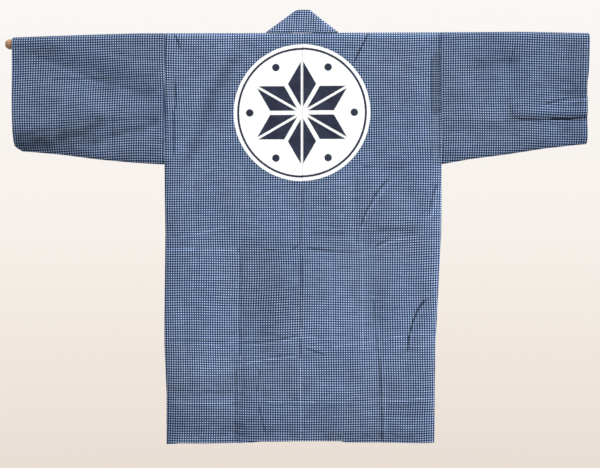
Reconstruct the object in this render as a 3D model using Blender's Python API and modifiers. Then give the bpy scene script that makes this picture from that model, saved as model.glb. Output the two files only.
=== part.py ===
"""A happi coat hung by both sleeves on a wooden rod.

Metres, +Z up. The coat's back faces -Y and its open front faces +Y. The origin is on the rod's
axis at the centre back. Each cloth piece is an open surface on a grid, and Solidify gives it its
wall. Each body length falls from the rod at the back and again at the front, as two solids that
part along the top of the rod and meet at the side seam. The rod is in three lengths.
"""

import math
from collections import namedtuple

import bpy
import numpy as np

CLOTH = 0.0013
BAND = 0.0030
SEAM_GAP = 0.0003
# Halves of the gaps between edges that meet at a slant, so that their inner corners are as far apart.
BUTT_GAP = 0.0003
SIDE_GAP = 0.00055

ROD_RADIUS = 0.011
ROD_LEFT = -0.6515
ROD_RIGHT = 0.6060
ROD_SLOPE = 0.0035
ROD_TIP = 0.006
ROD_TIP_SHARE = 0.6
ROD_BEVEL_RESOLUTION = 6
ROD_STEPS_LEFT = 6
ROD_STEPS_RIGHT = 4

# The rod bows down beyond these distances from the centre, by these amounts at the coat's cuffs.
Bow = namedtuple("Bow", "start reach drop power")
BOWS = {
    -1: Bow(start=0.350, reach=0.281, drop=0.0095, power=1.25),
    1: Bow(start=0.480, reach=0.150, drop=0.0045, power=1.10),
}

# Radius of the middle of the cloth over the rod, which grows a little towards the loose cuffs.
ROD_CLEARANCE = 0.0014
FOLD_RADIUS = ROD_RADIUS + ROD_CLEARANCE
CUFF_SLACK = 0.0018
CUFF_REACH = 0.637

UNDERARM = -0.276
SIDE_CLOSING = 0.040
UNDER_CLOSING = 0.035
# Turn of the cloth round a closed seam, in degrees from the seam to where the layers run flat.
CLOSING_TURNS = (0.0, 25.0, 50.0, 70.0, 90.0)
# A sleeve stands this many walls further off where its end and the body's side turn to their seams.
CLOSING_CLEARANCE = 0.8
HEM_FLARE = 0.22
HEM_DEPTH = 0.889

NECK_HALF = 0.0800
FRONT_SPREAD = 0.0080
COLLAR_WIDTH = 0.0550

ARC_STEPS = 8
NECK_STEP = 3
ARM_STEPS = 7
SKIRT_STEPS = 20
PANEL_STEPS = 7
NECK_COLUMNS = 3
SLEEVE_STEPS = 11
COLLAR_COLUMNS = 4
COLLAR_STEPS = 25

# Distance of each side from the centre back, by height.
Side = namedtuple("Side", "z left right")
SIDES = (
    Side(z=-0.890, left=0.2985, right=0.2917),
    Side(z=-0.780, left=0.2980, right=0.2920),
    Side(z=-0.670, left=0.3029, right=0.2937),
    Side(z=-0.610, left=0.3031, right=0.2973),
    Side(z=-0.520, left=0.3018, right=0.3016),
    Side(z=-0.430, left=0.3008, right=0.3064),
    Side(z=-0.280, left=0.3028, right=0.3074),
    Side(z=0.000, left=0.3003, right=0.3032),
)

# Height of the hem across the coat.
Hem = namedtuple("Hem", "x z")
HEM = (
    Hem(x=-0.295, z=-0.8917),
    Hem(x=-0.268, z=-0.8882),
    Hem(x=-0.136, z=-0.8882),
    Hem(x=-0.088, z=-0.8842),
    Hem(x=0.084, z=-0.8832),
    Hem(x=0.095, z=-0.8862),
    Hem(x=0.290, z=-0.8882),
)

# Height of each sleeve's lower edge, by distance from the centre back.
Under = namedtuple("Under", "x left right")
UNDER_SEAMS = (
    Under(x=0.302, left=-0.2762, right=-0.2765),
    Under(x=0.370, left=-0.2724, right=-0.2643),
    Under(x=0.450, left=-0.2649, right=-0.2540),
    Under(x=0.530, left=-0.2543, right=-0.2416),
    Under(x=0.600, left=-0.2478, right=-0.2336),
    Under(x=0.637, left=-0.2455, right=-0.2306),
)

# Distance of each cuff's edge from the centre back, by share of the way down the sleeve.
Cuff = namedtuple("Cuff", "down left right")
CUFFS = (
    Cuff(down=0.00, left=0.6350, right=0.6303),
    Cuff(down=0.30, left=0.6350, right=0.6280),
    Cuff(down=0.40, left=0.6350, right=0.6252),
    Cuff(down=0.82, left=0.6350, right=0.6247),
    Cuff(down=0.91, left=0.6336, right=0.6247),
    Cuff(down=0.96, left=0.6314, right=0.6247),
    Cuff(down=0.98, left=0.6250, right=0.6245),
    Cuff(down=1.00, left=0.6165, right=0.6237),
)

# Soft folds, each along a line from one point to another: depth is how far the cloth moves
# towards +Y, so a trough seen from behind the coat is positive at the back.
Fold = namedtuple("Fold", "x0 z0 x1 z1 width depth")
BACK_FOLDS = (
    Fold(x0=-0.560, z0=-0.040, x1=-0.356, z1=-0.117, width=0.030, depth=0.0055),
    Fold(x0=-0.550, z0=-0.125, x1=-0.378, z1=-0.172, width=0.030, depth=-0.0035),
    Fold(x0=-0.466, z0=-0.223, x1=-0.334, z1=-0.188, width=0.020, depth=0.0040),
    Fold(x0=-0.158, z0=-0.064, x1=-0.213, z1=-0.190, width=0.026, depth=0.0030),
    Fold(x0=-0.213, z0=-0.190, x1=-0.246, z1=-0.267, width=0.024, depth=0.0025),
    Fold(x0=-0.070, z0=-0.430, x1=-0.075, z1=-0.860, width=0.050, depth=-0.0030),
    Fold(x0=-0.136, z0=-0.454, x1=-0.150, z1=-0.880, width=0.024, depth=0.0028),
    Fold(x0=-0.225, z0=-0.380, x1=-0.220, z1=-0.880, width=0.040, depth=-0.0026),
    Fold(x0=0.110, z0=-0.240, x1=0.122, z1=-0.440, width=0.026, depth=0.0026),
    Fold(x0=0.194, z0=-0.300, x1=0.132, z1=-0.440, width=0.024, depth=0.0026),
    Fold(x0=0.080, z0=-0.500, x1=0.070, z1=-0.880, width=0.045, depth=-0.0030),
    Fold(x0=0.156, z0=-0.560, x1=0.174, z1=-0.883, width=0.024, depth=0.0030),
    Fold(x0=0.262, z0=-0.568, x1=0.231, z1=-0.685, width=0.024, depth=0.0030),
    Fold(x0=0.380, z0=-0.075, x1=0.440, z1=-0.050, width=0.030, depth=0.0030),
    Fold(x0=0.455, z0=-0.069, x1=0.458, z1=-0.223, width=0.020, depth=0.0026),
    Fold(x0=0.470, z0=-0.150, x1=0.640, z1=-0.148, width=0.020, depth=-0.0035),
    Fold(x0=0.453, z0=-0.176, x1=0.640, z1=-0.176, width=0.018, depth=0.0055),
    Fold(x0=0.560, z0=-0.112, x1=0.640, z1=-0.112, width=0.020, depth=0.0045),
)
FRONT_FOLDS = (
    Fold(x0=-0.540, z0=-0.060, x1=-0.400, z1=-0.140, width=0.032, depth=-0.0050),
    Fold(x0=-0.500, z0=-0.200, x1=-0.360, z1=-0.165, width=0.024, depth=0.0035),
    Fold(x0=-0.180, z0=-0.070, x1=-0.245, z1=-0.240, width=0.028, depth=-0.0035),
    Fold(x0=-0.150, z0=-0.400, x1=-0.140, z1=-0.880, width=0.034, depth=0.0035),
    Fold(x0=-0.220, z0=-0.480, x1=-0.235, z1=-0.880, width=0.030, depth=-0.0030),
    Fold(x0=0.170, z0=-0.060, x1=0.235, z1=-0.230, width=0.028, depth=-0.0035),
    Fold(x0=0.145, z0=-0.360, x1=0.155, z1=-0.880, width=0.034, depth=0.0035),
    Fold(x0=0.225, z0=-0.520, x1=0.215, z1=-0.880, width=0.030, depth=-0.0032),
    Fold(x0=0.370, z0=-0.060, x1=0.500, z1=-0.120, width=0.030, depth=-0.0045),
    Fold(x0=0.480, z0=-0.185, x1=0.620, z1=-0.170, width=0.022, depth=0.0035),
)
# Bends of the whole coat, which move both layers and the seams together.
BENDS = (
    Fold(x0=-0.655, z0=-0.232, x1=-0.560, z1=-0.275, width=0.045, depth=0.0080),
    Fold(x0=-0.300, z0=-0.930, x1=0.300, z1=-0.930, width=0.090, depth=0.0045),
    Fold(x0=0.640, z0=-0.240, x1=0.560, z1=-0.260, width=0.040, depth=-0.0040),
)
# The rod holds the cloth still at the top, and folds grow to their full depth below it.
FOLD_GROWTH = 0.050

# Half of the collar, from the centre back round the neck to the front: a point of the edge sewn
# to the coat, and the point of the free edge across from it.
Station = namedtuple("Station", "seam free")
NECK_STATIONS = (
    Station(seam=(0.0000, -0.0052, 0.0126), free=(0.0000, -0.0085, 0.0620)),
    Station(seam=(0.0280, -0.0052, 0.0126), free=(0.0060, -0.0084, 0.0620)),
    Station(seam=(0.0540, -0.0052, 0.0127), free=(0.0110, -0.0078, 0.0616)),
    Station(seam=(0.0710, -0.0046, 0.0131), free=(0.0138, -0.0060, 0.0608)),
    Station(seam=(0.0778, -0.0016, 0.0138), free=(0.0150, -0.0022, 0.0598)),
    Station(seam=(0.0788, 0.0038, 0.0138), free=(0.0154, 0.0024, 0.0574)),
    Station(seam=(0.0792, 0.0094, 0.0108), free=(0.0162, 0.0060, 0.0530)),
    Station(seam=(0.0794, 0.0129, 0.0050), free=(0.0180, 0.0095, 0.0410)),
    Station(seam=(0.0795, 0.0131, -0.0040), free=(0.0206, 0.0120, 0.0240)),
    Station(seam=(0.0795, 0.0129, -0.0150), free=(0.0232, 0.0128, 0.0050)),
    Station(seam=(0.0796, 0.0128, -0.0280), free=(0.0244, 0.0130, -0.0180)),
)
BAND_TOP = -0.0470
# The standing part of the collar leans towards +X by up to this much, above where it leaves the coat. On the
# -X side the lean fades out forwards of the neck, so that the opening keeps its width.
COLLAR_LEAN = 0.0036
LEAN_FOOT = 0.0140
LEAN_HEIGHT = 0.0500
LEAN_FRONT = -0.0030
LEAN_FADE = 0.0030

Finish = namedtuple("Finish", "color roughness")
FINISHES = {
    "indigo_body": Finish(color=(0.113, 0.156, 0.245), roughness=0.90),
    "indigo_sleeve": Finish(color=(0.100, 0.140, 0.225), roughness=0.90),
    "indigo_collar": Finish(color=(0.150, 0.205, 0.310), roughness=0.90),
    "rod_wood": Finish(color=(0.420, 0.230, 0.115), roughness=0.55),
}


def table_value(rows, key, column, at):
    """Value of a column at a place between a table's rows."""
    keys = np.array([getattr(row, key) for row in rows])
    values = np.array([getattr(row, column) for row in rows])
    order = np.argsort(keys)
    return float(np.interp(at, keys[order], values[order]))


def side_name(sign):
    return "left" if sign < 0 else "right"


def rod_height(x):
    """Height of the rod's axis."""
    bow = BOWS[-1 if x < 0 else 1]
    share = max(0.0, (abs(x) - bow.start) / bow.reach)
    return ROD_SLOPE * x - bow.drop * share**bow.power


def fold_radius(x):
    return FOLD_RADIUS + CUFF_SLACK * (abs(x) / CUFF_REACH) ** 3


def folds_depth(folds, x, z):
    """Sum of the soft folds at a place: each fades with distance from its own line."""
    total = 0.0
    for fold in folds:
        run_x = fold.x1 - fold.x0
        run_z = fold.z1 - fold.z0
        along = ((x - fold.x0) * run_x + (z - fold.z0) * run_z) / (run_x**2 + run_z**2)
        along = min(1.0, max(0.0, along))
        away = math.hypot(x - fold.x0 - along * run_x, z - fold.z0 - along * run_z)
        total += fold.depth * math.exp(-((away / fold.width) ** 2))
    return total


def closing_share(distance, reach):
    """How far a closed seam has opened at a distance from it, from 0 to 1."""
    left = 1.0 - min(1.0, max(0.0, distance / reach))
    return math.sqrt(1.0 - left**2)


def closing_steps(reach):
    """Distances from a closed seam at which its turn is followed."""
    return [reach * (1.0 - math.cos(math.radians(turn))) for turn in CLOSING_TURNS]


def layer_point(x, z, layer, opening):
    """A point of the back (-1) or front (+1) layer, where opening is its share of the full gap."""
    flare = 1.0 + HEM_FLARE * (z / HEM_DEPTH) ** 2 * (layer > 0)
    growth = min(1.0, max(0.0, -z / FOLD_GROWTH))
    folds = BACK_FOLDS if layer < 0 else FRONT_FOLDS
    y = layer * fold_radius(x) * opening * flare
    y += growth * opening * folds_depth(folds, x, z)
    y += growth * folds_depth(BENDS, x, z)
    return (x, y, z)


def arc_point(x, step, layer=0):
    """A point of the cloth over the rod, from step 0 at the back; a layer stops just short of the top."""
    radius = fold_radius(x)
    turn = math.pi * step / ARC_STEPS
    if 2 * step == ARC_STEPS:
        turn += layer * BUTT_GAP / radius
    return (x, -radius * math.cos(turn), rod_height(x) + radius * math.sin(turn))


def arm_levels():
    """Shares of the way from the rod down to the underarm."""
    flat = 1.0 - UNDER_CLOSING / -UNDERARM
    levels = [flat * step / ARM_STEPS for step in range(ARM_STEPS + 1)]
    for distance in reversed(closing_steps(UNDER_CLOSING)[:-1]):
        levels.append(1.0 - distance / -UNDERARM)
    return levels


def collar_seam(z):
    """Distance from the centre of the line where the collar joins a front."""
    return NECK_HALF + FRONT_SPREAD * max(0.0, -z) / HEM_DEPTH


class Surface:
    """Grid points shared by key, and the faces between them."""

    def __init__(self):
        self.points = []
        self.numbers = {}
        self.faces = []

    def put(self, key, point):
        if key not in self.numbers:
            self.numbers[key] = len(self.points)
            self.points.append(point)

    def strips(self, rows):
        """Faces between neighbouring rows of keys, as far as the shorter row goes."""
        for low, high in zip(rows, rows[1:]):
            for j in range(min(len(low), len(high)) - 1):
                corners = (low[j], low[j + 1], high[j + 1], high[j])
                face = list(dict.fromkeys(self.numbers[key] for key in corners))
                self.faces.append(face)

    def solid(self, name, wall, finish, collection):
        mesh = bpy.data.meshes.new(name)
        mesh.from_pydata(self.points, [], self.faces)
        mesh.shade_smooth()
        mesh.materials.append(make_material(name, finish))
        obj = bpy.data.objects.new(name, mesh)
        collection.objects.link(obj)
        solidify = obj.modifiers.new("wall", "SOLIDIFY")
        solidify.thickness = wall
        solidify.offset = 0.0
        return obj


def make_material(name, finish):
    material = bpy.data.materials.new(name)
    material.use_nodes = True
    shader = material.node_tree.nodes["Principled BSDF"]
    color = FINISHES[finish].color
    shader.inputs["Base Color"].default_value = (*color, 1.0)
    shader.inputs["Roughness"].default_value = FINISHES[finish].roughness
    shader.inputs["Metallic"].default_value = 0.0
    return material


def column_places(sign, z, opening_at_edge, inner):
    """Distances from the centre of a body row's columns, from the side to the innermost one."""
    edge = table_value(SIDES, "z", side_name(sign), z)
    edge -= 0.5 * CLOTH * (1.0 - opening_at_edge)
    places = [edge - distance for distance in closing_steps(SIDE_CLOSING)]
    seam = collar_seam(z) + 0.5 * SEAM_GAP
    places += list(np.linspace(places[-1], seam, PANEL_STEPS + 1)[1:])
    if inner:
        places += list(np.linspace(seam, 0.5 * SEAM_GAP, NECK_COLUMNS + 1)[1:])
    return edge, places


def body_row(surface, sign, layer, row, down, skirt):
    """One row of a body layer: down is the share from the rod to the underarm, skirt from there on."""
    level = UNDERARM * down - skirt * (HEM_DEPTH + UNDERARM)
    open_edge = closing_share(level - UNDERARM, UNDER_CLOSING)
    edge, places = column_places(sign, level, open_edge, inner=layer < 0)
    keys = []
    for column, place in enumerate(places):
        x = sign * place
        z = (1.0 - down) * rod_height(x) + UNDERARM * down
        z += skirt * (table_value(HEM, "x", "z", x) - UNDERARM)
        near = 1.0 - closing_share(edge - place, SIDE_CLOSING) ** 2
        opening = math.sqrt(1.0 - near * (1.0 - open_edge**2))
        x, y, z = layer_point(x, z, layer, opening)
        if opening == 0.0:
            y += layer * SIDE_GAP
        surface.put((row, column), (x, y, z))
        keys.append((row, column))
    return keys


def body_layer(name, sign, layer, collection):
    """The back (-1) or the front (+1) of one body length, from the hem to the top of the rod."""
    surface = Surface()
    rows = [(share, 0.0) for share in arm_levels()]
    rows += [(1.0, step / SKIRT_STEPS) for step in range(1, SKIRT_STEPS + 1)]
    sheet = [body_row(surface, sign, layer, row, down, skirt) for row, (down, skirt) in enumerate(rows)]
    _, places = column_places(sign, 0.0, 1.0, inner=layer < 0)
    shoulder = len(places) - NECK_COLUMNS * (layer < 0)
    half = ARC_STEPS // 2
    arc = []
    for step in range(1, half + 1) if layer < 0 else range(ARC_STEPS - 1, half - 1, -1):
        count = len(places) if step <= NECK_STEP else shoulder
        keys = [("arc", step, column) for column in range(count)]
        for key, place in zip(keys, places):
            surface.put(key, arc_point(sign * place, step, layer))
        arc.append(keys)
    surface.strips(sheet[::-1] + arc)
    return surface.solid(name, CLOTH, "indigo_body", collection)


def sleeve(name, sign, collection):
    """A sleeve: a tube that passes over the rod, closed along its lower edge, open at both ends."""
    surface = Surface()
    side = side_name(sign)
    levels = arm_levels()
    closing = -UNDERARM * (1.0 - np.array(levels))
    rows = []
    for step in range(SLEEVE_STEPS + 1):
        along = step / SLEEVE_STEPS
        rings = {-1: [], 1: []}
        for layer in (-1, 1):
            for row, down in enumerate(levels):
                opening = closing_share(closing[row], UNDER_CLOSING)
                inner = table_value(SIDES, "z", side, UNDERARM * down)
                inner += SEAM_GAP + CLOSING_CLEARANCE * CLOTH * (1.0 - opening)
                place = inner + along * (table_value(CUFFS, "down", side, down) - inner)
                x = sign * place
                low = table_value(UNDER_SEAMS, "x", side, place)
                z = rod_height(x) + down * (low - rod_height(x))
                key = ("seam", step) if opening == 0.0 else (layer, step, row)
                surface.put(key, layer_point(x, z, layer, opening))
                rings[layer].append(key)
        arc = []
        for turn in range(1, ARC_STEPS):
            inner = table_value(SIDES, "z", side, 0.0) + SEAM_GAP
            place = inner + along * (table_value(CUFFS, "down", side, 0.0) - inner)
            key = ("arc", step, turn)
            surface.put(key, arc_point(sign * place, turn))
            arc.append(key)
        rows.append(rings[-1][::-1] + arc + rings[1])
    surface.strips(rows)
    return surface.solid(name, CLOTH, "indigo_sleeve", collection)


def collar_row(surface, row, seam, free):
    """Points across the band, from the edge sewn to the coat to the free edge."""
    keys = []
    for column in range(COLLAR_COLUMNS + 1):
        x, y, z = seam + (free - seam) * column / COLLAR_COLUMNS
        height = min(1.0, max(0.0, (z - LEAN_FOOT) / LEAN_HEIGHT))
        behind = min(1.0, max(0.0, (LEAN_FRONT - y) / LEAN_FADE)) if x < 0.0 else 1.0
        x += COLLAR_LEAN * height * behind
        surface.put((row, column), (x, y, z + ROD_SLOPE * x))
        keys.append((row, column))
    return keys


def collar_edges(sign):
    """The two edges of one half of the band, from the centre back to the front hem."""
    edges = []
    for station in NECK_STATIONS:
        edges.append([np.array(point) * (sign, 1.0, 1.0) for point in station])
    bottom = table_value(HEM, "x", "z", sign * NECK_HALF)
    for z in np.linspace(BAND_TOP, bottom, COLLAR_STEPS):
        seam = sign * (collar_seam(z) - 0.5 * SEAM_GAP)
        free = seam - sign * COLLAR_WIDTH
        edges.append([np.array(layer_point(x, z, 1, 1.0)) for x in (seam, free)])
    return edges


def collar(name, collection):
    """The band: round the back of the neck, folded over at both sides and down both fronts."""
    surface = Surface()
    edges = collar_edges(-1)[:0:-1] + collar_edges(1)
    rows = [collar_row(surface, row, seam, free) for row, (seam, free) in enumerate(edges)]
    surface.strips(rows)
    return surface.solid(name, BAND, "indigo_collar", collection)


def rod_places():
    """Places of the sections of the rod's left, middle and right lengths."""
    left = -BOWS[-1].start
    right = BOWS[1].start
    return {
        "rod_left": [ROD_LEFT, *np.linspace(ROD_LEFT + ROD_TIP, left - BUTT_GAP, ROD_STEPS_LEFT)],
        "rod_middle": [left + BUTT_GAP, right - BUTT_GAP],
        "rod_right": [*np.linspace(right + BUTT_GAP, ROD_RIGHT - ROD_TIP, ROD_STEPS_RIGHT), ROD_RIGHT],
    }


def rod(name, places, collection):
    """One length of the round rod, which bows down towards its ends and has eased tips."""
    curve = bpy.data.curves.new(name, "CURVE")
    curve.dimensions = "3D"
    curve.bevel_depth = ROD_RADIUS
    curve.bevel_resolution = ROD_BEVEL_RESOLUTION
    curve.use_fill_caps = True
    spline = curve.splines.new("POLY")
    spline.points.add(len(places) - 1)
    for point, x in zip(spline.points, places):
        point.co = (x, 0.0, rod_height(x), 1.0)
        point.radius = ROD_TIP_SHARE if x in (ROD_LEFT, ROD_RIGHT) else 1.0
    curve.materials.append(make_material(name, "rod_wood"))
    obj = bpy.data.objects.new(name, curve)
    collection.objects.link(obj)
    return obj


def main():
    for obj in list(bpy.data.objects):
        bpy.data.objects.remove(obj, do_unlink=True)
    collection = bpy.data.collections.new("happi_coat")
    bpy.context.scene.collection.children.link(collection)
    for name, places in rod_places().items():
        rod(name, places, collection)
    for layer, name in ((-1, "back"), (1, "front")):
        body_layer(f"{name}_left", -1, layer, collection)
        body_layer(f"{name}_right", 1, layer, collection)
    sleeve("sleeve_left", -1, collection)
    sleeve("sleeve_right", 1, collection)
    collar("collar", collection)


main()
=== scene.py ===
import math
from collections import namedtuple

import bpy
import numpy as np
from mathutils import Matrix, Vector


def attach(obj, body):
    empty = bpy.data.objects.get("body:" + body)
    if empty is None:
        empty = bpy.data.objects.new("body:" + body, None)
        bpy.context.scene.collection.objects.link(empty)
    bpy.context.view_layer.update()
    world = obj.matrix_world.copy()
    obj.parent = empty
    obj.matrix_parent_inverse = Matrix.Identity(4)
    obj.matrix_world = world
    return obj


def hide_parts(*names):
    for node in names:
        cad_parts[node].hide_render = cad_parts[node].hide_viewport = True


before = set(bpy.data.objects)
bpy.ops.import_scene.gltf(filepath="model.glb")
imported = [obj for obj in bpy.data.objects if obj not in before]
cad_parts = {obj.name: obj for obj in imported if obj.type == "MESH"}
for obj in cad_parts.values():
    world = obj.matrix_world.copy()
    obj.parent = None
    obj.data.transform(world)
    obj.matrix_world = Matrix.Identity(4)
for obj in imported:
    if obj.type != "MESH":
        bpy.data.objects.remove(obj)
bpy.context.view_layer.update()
print("frame loaded")

# The two layers on the rod, towards -Y and +Y, and the two sides, towards -X and +X.
back, front = -1, 1
left, right = -1, 1

# Sizes that several pieces share, in metres.
cut = {
    "wall": 0.0011,
    "solidWall": 0.0013,
    "seamGap": 0.0003,
    "foldRadius": 0.0124,  # middle of the cloth over the rod
    "cuffSlack": 0.0018,
    "cuffReach": 0.637,
    "rodSlope": 0.0035,
    "underarm": -0.276,
    "sideClosing": 0.040,
    "underClosing": 0.035,
    "hemFlare": 0.22,
    "hemDepth": 0.889,
    "neckHalf": 0.080,
    "frontSpread": 0.008,
    "grid": 0.0037,
    "turnSteps": 12,
    "arcSteps": 16,
    "hemTurn": 0.020,
    "cuffHem": 0.014,
    "hemRaise": 0.00045,
    "hemStep": 0.004,
    "foldGrowth": 0.050,  # folds grow to their full depth this far below the rod
    "creaseGrowth": 0.012,
}
# Shallow waves of handled cloth, in many directions.
waves = {"count": 26, "shortest": 0.035, "longest": 0.150, "height": 0.00060, "seeds": {back: 11, front: 12}}
creaseShape = {"waver": 0.0007, "waverStep": 0.011, "taper": 0.03, "taperShare": 0.3}
# Painted light (above 0) where the cloth curves away at the closed sides and the sleeves' lower edges and on
# top over the rod, and painted shade (below 0) in the seams, along the hem turns and at the collar's sewn
# edge, and how wide.
edgeShading = {
    "seam": -0.15,
    "seamDepth": 0.0007,
    "hem": -0.16,
    "cuffHem": -0.14,
    "hemWidth": 0.0022,
    "side": 0.12,
    "sideWidth": 0.012,
    "shoulder": 0.20,
    "underarm": 0.28,
    "underarmWidth": 0.010,
    "collarEdge": -0.35,
    "collarEdgeWidth": 0.0016,
}

# How the rod's ends bow down.
Bow = namedtuple("Bow", "start reach drop power")
bows = {left: Bow(0.350, 0.281, 0.0095, 1.25), right: Bow(0.480, 0.150, 0.0045, 1.10)}

# Height, and the body's half width on the left and on the right.
sides = np.array([
    (-0.89, 0.2985, 0.2917),
    (-0.78, 0.298, 0.292),
    (-0.67, 0.3029, 0.2937),
    (-0.61, 0.3031, 0.2973),
    (-0.52, 0.3018, 0.3016),
    (-0.43, 0.3008, 0.3064),
    (-0.28, 0.3028, 0.3074),
    (0.0, 0.3003, 0.3032),
])
# Place across and height of the hem.
hems = np.array([
    (-0.295, -0.8917),
    (-0.268, -0.8882),
    (-0.136, -0.8882),
    (-0.088, -0.8842),
    (0.084, -0.8832),
    (0.095, -0.8862),
    (0.29, -0.8882),
])
# Distance from the centre, and height of a sleeve's lower edge on the left and on the right.
underSeams = np.array([
    (0.302, -0.2762, -0.2765),
    (0.37, -0.2724, -0.2643),
    (0.45, -0.2649, -0.254),
    (0.53, -0.2543, -0.2416),
    (0.6, -0.2478, -0.2336),
    (0.637, -0.2455, -0.2306),
])
# Share of the way down a cuff, and its distance from the centre on the left and on the right.
cuffs = np.array([
    (0.0, 0.635, 0.6303),
    (0.3, 0.635, 0.628),
    (0.4, 0.635, 0.6252),
    (0.82, 0.635, 0.6247),
    (0.91, 0.6336, 0.6247),
    (0.96, 0.6314, 0.6247),
    (0.98, 0.625, 0.6245),
    (1.0, 0.6165, 0.6237),
])


# The longer tables are written in millimetres.
def millimetres(*rows):
    return np.array(rows) / 1000.0


# Broad folds: x and z of both ends, width and depth. Depth is towards +Y, so a trough of the back is above 0.
folds = {
    back: millimetres(
        (-560, -40, -356, -117, 30, 5.5),
        (-550, -125, -378, -172, 30, -3.5),
        (-466, -223, -334, -188, 20, 4),
        (-158, -64, -213, -190, 26, 3),
        (-213, -190, -246, -267, 24, 2.5),
        (-70, -430, -75, -860, 50, -3),
        (-136, -454, -150, -880, 24, 2.8),
        (-225, -380, -220, -880, 40, -2.6),
        (110, -240, 122, -440, 26, 2.6),
        (194, -300, 132, -440, 24, 2.6),
        (80, -500, 70, -880, 45, -3),
        (156, -560, 174, -883, 24, 3),
        (262, -568, 231, -685, 24, 3),
        (380, -75, 440, -50, 30, 3),
        (455, -69, 458, -223, 20, 2.6),
        (470, -154, 640, -152, 20, -1.8),
        (453, -183, 640, -181, 15, 2.6),
        (560, -112, 640, -112, 20, 3.4),
    ),
    front: millimetres(
        (-540, -60, -400, -140, 32, -5),
        (-500, -200, -360, -165, 24, 3.5),
        (-180, -70, -245, -240, 28, -3.5),
        (-150, -400, -140, -880, 34, 3.5),
        (-220, -480, -235, -880, 30, -3),
        (170, -60, 235, -230, 28, -3.5),
        (145, -360, 155, -880, 34, 3.5),
        (225, -520, 215, -880, 30, -3.2),
        (370, -60, 500, -120, 30, -4.5),
        (480, -185, 620, -170, 22, 3.5),
    ),
}
bends = millimetres(
    (-655, -232, -560, -275, 45, 8),
    (-300, -930, 300, -930, 90, 4.5),
    (640, -240, 560, -260, 40, -4),
)
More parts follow.
